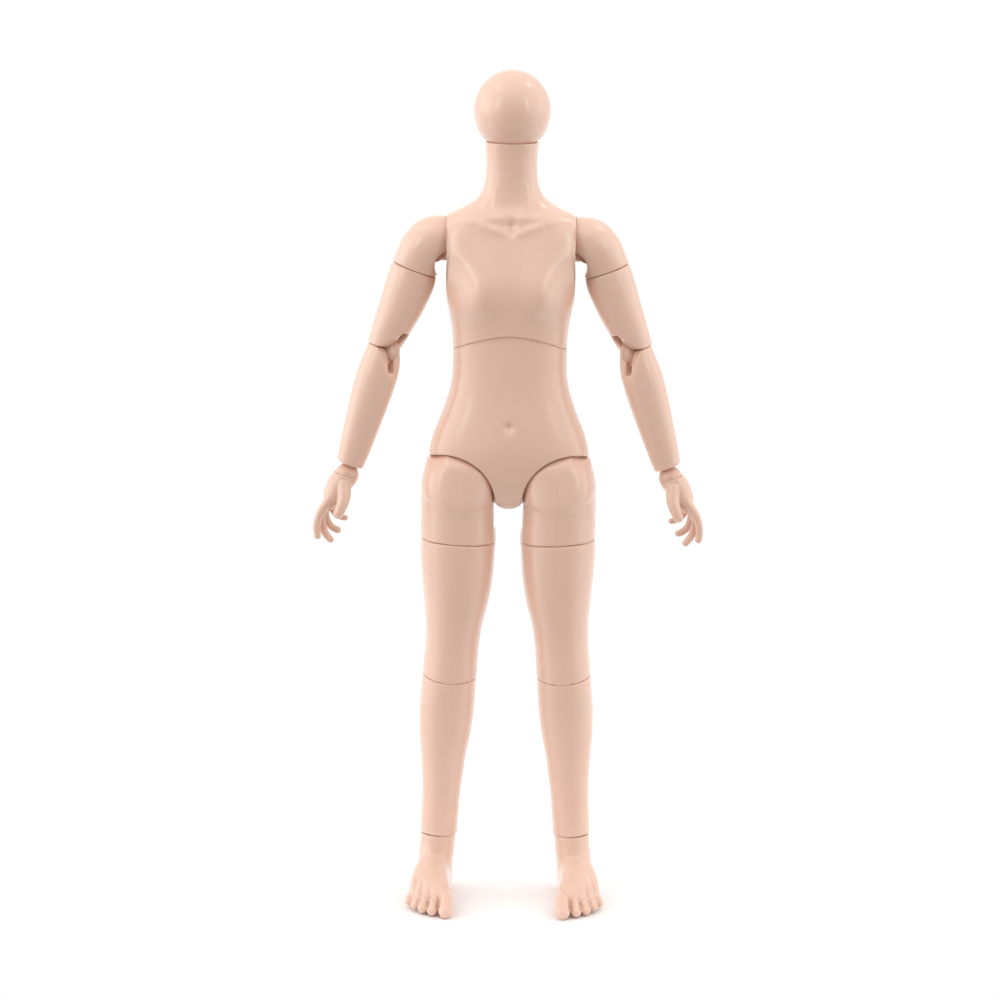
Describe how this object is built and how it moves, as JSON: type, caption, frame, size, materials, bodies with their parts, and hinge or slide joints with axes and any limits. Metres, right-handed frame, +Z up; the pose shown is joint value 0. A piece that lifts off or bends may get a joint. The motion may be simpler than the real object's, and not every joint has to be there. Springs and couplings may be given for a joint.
{
  "type": "jointed doll",
  "caption": "Standing jointed doll body with a plain ball head, double-hinge elbows and knees, and turning neck, waist, shoulders, hips, wrists and ankles.",
  "frame": {"origin": "on the floor under the soles, below the middle of the doll's outline", "axes": "+Z up along the standing body, the doll faces -Y, and its left side is +X"},
  "size_m": [0.125, 0.0455, 0.27],
  "materials": {
    "skin_plastic": "satin",
    "joint_plastic": "satin",
    "steel": "plain"
  },
  "bodies": {
    "hips": {"pelvis_front": "skin_plastic", "pelvis_back": "skin_plastic", "hip_axle": "steel"},
    "waist_turntable": {"waist_turntable": "joint_plastic"},
    "waist_cross": {"waist_cross": "steel"},
    "chest": {"chest_post": "joint_plastic", "chest_front": "skin_plastic", "chest_back": "skin_plastic"},
    "neck": {"neck_post": "joint_plastic"},
    "head": {"head_ball": "skin_plastic", "head_pin": "steel"},
    "left_shoulder": {"left_shoulder_joint": "joint_plastic"},
    "left_cap": {"left_shoulder_cap": "skin_plastic", "left_shoulder_pin": "steel"},
    "left_upper_arm": {"left_upper_arm": "skin_plastic"},
    "left_elbow": {"left_elbow_link": "joint_plastic", "left_elbow_upper_pin": "steel", "left_elbow_lower_pin": "steel"},
    "left_forearm": {"left_forearm": "skin_plastic"},
    "left_wrist": {"left_wrist_joint": "joint_plastic"},
    "left_hand": {"left_hand": "skin_plastic", "left_wrist_pin": "steel"},
    "left_hip": {"left_hip_joint": "joint_plastic"},
    "left_thigh_top": {"left_thigh_top": "skin_plastic", "left_hip_pin": "steel"},
    "left_thigh": {"left_thigh": "skin_plastic"},
    "left_knee": {"left_knee_link": "joint_plastic", "left_knee_upper_pin": "steel", "left_knee_lower_pin": "steel"},
    "left_shin": {"left_shin": "skin_plastic"},
    "left_ankle": {"left_ankle_joint": "joint_plastic"},
    "left_foot": {"left_foot": "skin_plastic", "left_ankle_pin": "steel"},
    "right_shoulder": {"right_shoulder_joint": "joint_plastic"},
    "right_cap": {"right_shoulder_cap": "skin_plastic", "right_shoulder_pin": "steel"},
    "right_upper_arm": {"right_upper_arm": "skin_plastic"},
    "right_elbow": {"right_elbow_link": "joint_plastic", "right_elbow_upper_pin": "steel", "right_elbow_lower_pin": "steel"},
    "right_forearm": {"right_forearm": "skin_plastic"},
    "right_wrist": {"right_wrist_joint": "joint_plastic"},
    "right_hand": {"right_hand": "skin_plastic", "right_wrist_pin": "steel"},
    "right_hip": {"right_hip_joint": "joint_plastic"},
    "right_thigh_top": {"right_thigh_top": "skin_plastic", "right_hip_pin": "steel"},
    "right_thigh": {"right_thigh": "skin_plastic"},
    "right_knee": {"right_knee_link": "joint_plastic", "right_knee_upper_pin": "steel", "right_knee_lower_pin": "steel"},
    "right_shin": {"right_shin": "skin_plastic"},
    "right_ankle": {"right_ankle_joint": "joint_plastic"},
    "right_foot": {"right_foot": "skin_plastic", "right_ankle_pin": "steel"}
  },
  "joints": [
    {"name": "waist_turn", "type": "hinge", "parent": "hips", "child": "waist_turntable", "pos_m": [0, 0.00727, 0.16877], "axis": [0, 0, 1], "range_deg": [-20, 20]},
    {"name": "waist_bend", "type": "hinge", "parent": "waist_turntable", "child": "waist_cross", "pos_m": [0, 0.00727, 0.16877], "axis": [1, 0, 0], "range_deg": [-12, 12]},
    {"name": "waist_lean", "type": "hinge", "parent": "waist_cross", "child": "chest", "pos_m": [0, 0.00727, 0.16877], "axis": [0, 1, 0], "range_deg": [-8, 8]},
    {"name": "neck_turn", "type": "hinge", "parent": "chest", "child": "neck", "pos_m": [0, 0.00727, 0.25707], "axis": [0, 0, 1], "range_deg": [-75, 75]},
    {"name": "head_nod", "type": "hinge", "parent": "neck", "child": "head", "pos_m": [0, 0.00727, 0.25707], "axis": [1, 0, 0], "range_deg": [-20, 20]},
    {"name": "left_arm_swing", "type": "hinge", "parent": "chest", "child": "left_shoulder", "pos_m": [0.0245, 0.00727, 0.21197], "axis": [-1, 0, 0], "range_deg": [-60, 170]},
    {"name": "left_arm_raise", "type": "hinge", "parent": "left_shoulder", "child": "left_cap", "pos_m": [0.0245, 0.00727, 0.21197], "axis": [0, -1, 0], "range_deg": [-8, 52]},
    {"name": "left_arm_turn", "type": "hinge", "parent": "left_cap", "child": "left_upper_arm", "pos_m": [0.03038, 0.00727, 0.20634], "axis": [-0.342, 0, 0.9397], "range_deg": [-90, 90]},
    {"name": "left_elbow_upper", "type": "hinge", "parent": "left_upper_arm", "child": "left_elbow", "pos_m": [0.03843, 0.00727, 0.18421], "axis": [-0.5785, 0.788, -0.2106], "range_deg": [0, 50]},
    {"name": "left_elbow_lower", "type": "hinge", "parent": "left_elbow", "child": "left_forearm", "pos_m": [0.04083, 0.00727, 0.17763], "axis": [-0.5785, 0.788, -0.2106], "range_deg": [0, 50]},
    {"name": "left_wrist_turn", "type": "hinge", "parent": "left_forearm", "child": "left_wrist", "pos_m": [0.0519, 0.00727, 0.1395], "axis": [-0.284, 0, 0.9588], "range_deg": [-90, 90]},
    {"name": "left_wrist_bend", "type": "hinge", "parent": "left_wrist", "child": "left_hand", "pos_m": [0.0519, 0.00727, 0.1395], "axis": [0, 1, 0], "range_deg": [-28, 28]},
    {"name": "left_leg_swing", "type": "hinge", "parent": "hips", "child": "left_hip", "pos_m": [0.01975, 0.00727, 0.13227], "axis": [-1, 0, 0], "range_deg": [-20, 80]},
    {"name": "left_leg_spread", "type": "hinge", "parent": "left_hip", "child": "left_thigh_top", "pos_m": [0.01975, 0.00727, 0.13227], "axis": [0, -1, 0], "range_deg": [-3, 28]},
    {"name": "left_thigh_turn", "type": "hinge", "parent": "left_thigh_top", "child": "left_thigh", "pos_m": [0.0158, 0.00727, 0.11897], "axis": [0.0558, 0, -0.9984], "range_deg": [-45, 45]},
    {"name": "left_knee_upper", "type": "hinge", "parent": "left_thigh", "child": "left_knee", "pos_m": [0.01804, 0.00727, 0.07898], "axis": [0.9984, 0, 0.0558], "range_deg": [0, 60]},
    {"name": "left_knee_lower", "type": "hinge", "parent": "left_knee", "child": "left_shin", "pos_m": [0.01859, 0.00727, 0.069], "axis": [0.9984, 0, 0.0558], "range_deg": [0, 60]},
    {"name": "left_ankle_turn", "type": "hinge", "parent": "left_shin", "child": "left_ankle", "pos_m": [0.02184, 0.00727, 0.01815], "axis": [0.0558, 0, -0.9984], "range_deg": [-30, 30]},
    {"name": "left_ankle_flex", "type": "hinge", "parent": "left_ankle", "child": "left_foot", "pos_m": [0.02184, 0.00727, 0.01815], "axis": [0.9903, 0.1392, 0], "range_deg": [-16, 16]},
    {"name": "right_arm_swing", "type": "hinge", "parent": "chest", "child": "right_shoulder", "pos_m": [-0.0245, 0.00727, 0.21197], "axis": [-1, 0, 0], "range_deg": [-60, 170]},
    {"name": "right_arm_raise", "type": "hinge", "parent": "right_shoulder", "child": "right_cap", "pos_m": [-0.0245, 0.00727, 0.21197], "axis": [0, 1, 0], "range_deg": [-8, 52]},
    {"name": "right_arm_turn", "type": "hinge", "parent": "right_cap", "child": "right_upper_arm", "pos_m": [-0.03038, 0.00727, 0.20634], "axis": [-0.342, 0, -0.9397], "range_deg": [-90, 90]},
    {"name": "right_elbow_upper", "type": "hinge", "parent": "right_upper_arm", "child": "right_elbow", "pos_m": [-0.03843, 0.00727, 0.18421], "axis": [-0.5785, -0.788, 0.2106], "range_deg": [0, 50]},
    {"name": "right_elbow_lower", "type": "hinge", "parent": "right_elbow", "child": "right_forearm", "pos_m": [-0.04083, 0.00727, 0.17763], "axis": [-0.5785, -0.788, 0.2106], "range_deg": [0, 50]},
    {"name": "right_wrist_turn", "type": "hinge", "parent": "right_forearm", "child": "right_wrist", "pos_m": [-0.0519, 0.00727, 0.1395], "axis": [-0.284, 0, -0.9588], "range_deg": [-90, 90]},
    {"name": "right_wrist_bend", "type": "hinge", "parent": "right_wrist", "child": "right_hand", "pos_m": [-0.0519, 0.00727, 0.1395], "axis": [0, -1, 0], "range_deg": [-28, 28]},
    {"name": "right_leg_swing", "type": "hinge", "parent": "hips", "child": "right_hip", "pos_m": [-0.01975, 0.00727, 0.13227], "axis": [-1, 0, 0], "range_deg": [-20, 80]},
    {"name": "right_leg_spread", "type": "hinge", "parent": "right_hip", "child": "right_thigh_top", "pos_m": [-0.01975, 0.00727, 0.13227], "axis": [0, 1, 0], "range_deg": [-3, 28]},
    {"name": "right_thigh_turn", "type": "hinge", "parent": "right_thigh_top", "child": "right_thigh", "pos_m": [-0.0158, 0.00727, 0.11897], "axis": [0.0558, 0, 0.9984], "range_deg": [-45, 45]},
    {"name": "right_knee_upper", "type": "hinge", "parent": "right_thigh", "child": "right_knee", "pos_m": [-0.01804, 0.00727, 0.07898], "axis": [0.9984, 0, -0.0558], "range_deg": [0, 60]},
    {"name": "right_knee_lower", "type": "hinge", "parent": "right_knee", "child": "right_shin", "pos_m": [-0.01859, 0.00727, 0.069], "axis": [0.9984, 0, -0.0558], "range_deg": [0, 60]},
    {"name": "right_ankle_turn", "type": "hinge", "parent": "right_shin", "child": "right_ankle", "pos_m": [-0.02184, 0.00727, 0.01815], "axis": [0.0558, 0, 0.9984], "range_deg": [-30, 30]},
    {"name": "right_ankle_flex", "type": "hinge", "parent": "right_ankle", "child": "right_foot", "pos_m": [-0.02184, 0.00727, 0.01815], "axis": [0.9903, -0.1392, 0], "range_deg": [-16, 16]}
  ],
  "couplings": [
    {"joint": "left_elbow_lower", "follows": "left_elbow_upper", "ratio": 1},
    {"joint": "left_knee_lower", "follows": "left_knee_upper", "ratio": 1},
    {"joint": "right_elbow_lower", "follows": "right_elbow_upper", "ratio": 1},
    {"joint": "right_knee_lower", "follows": "right_knee_upper", "ratio": 1}
  ]
}
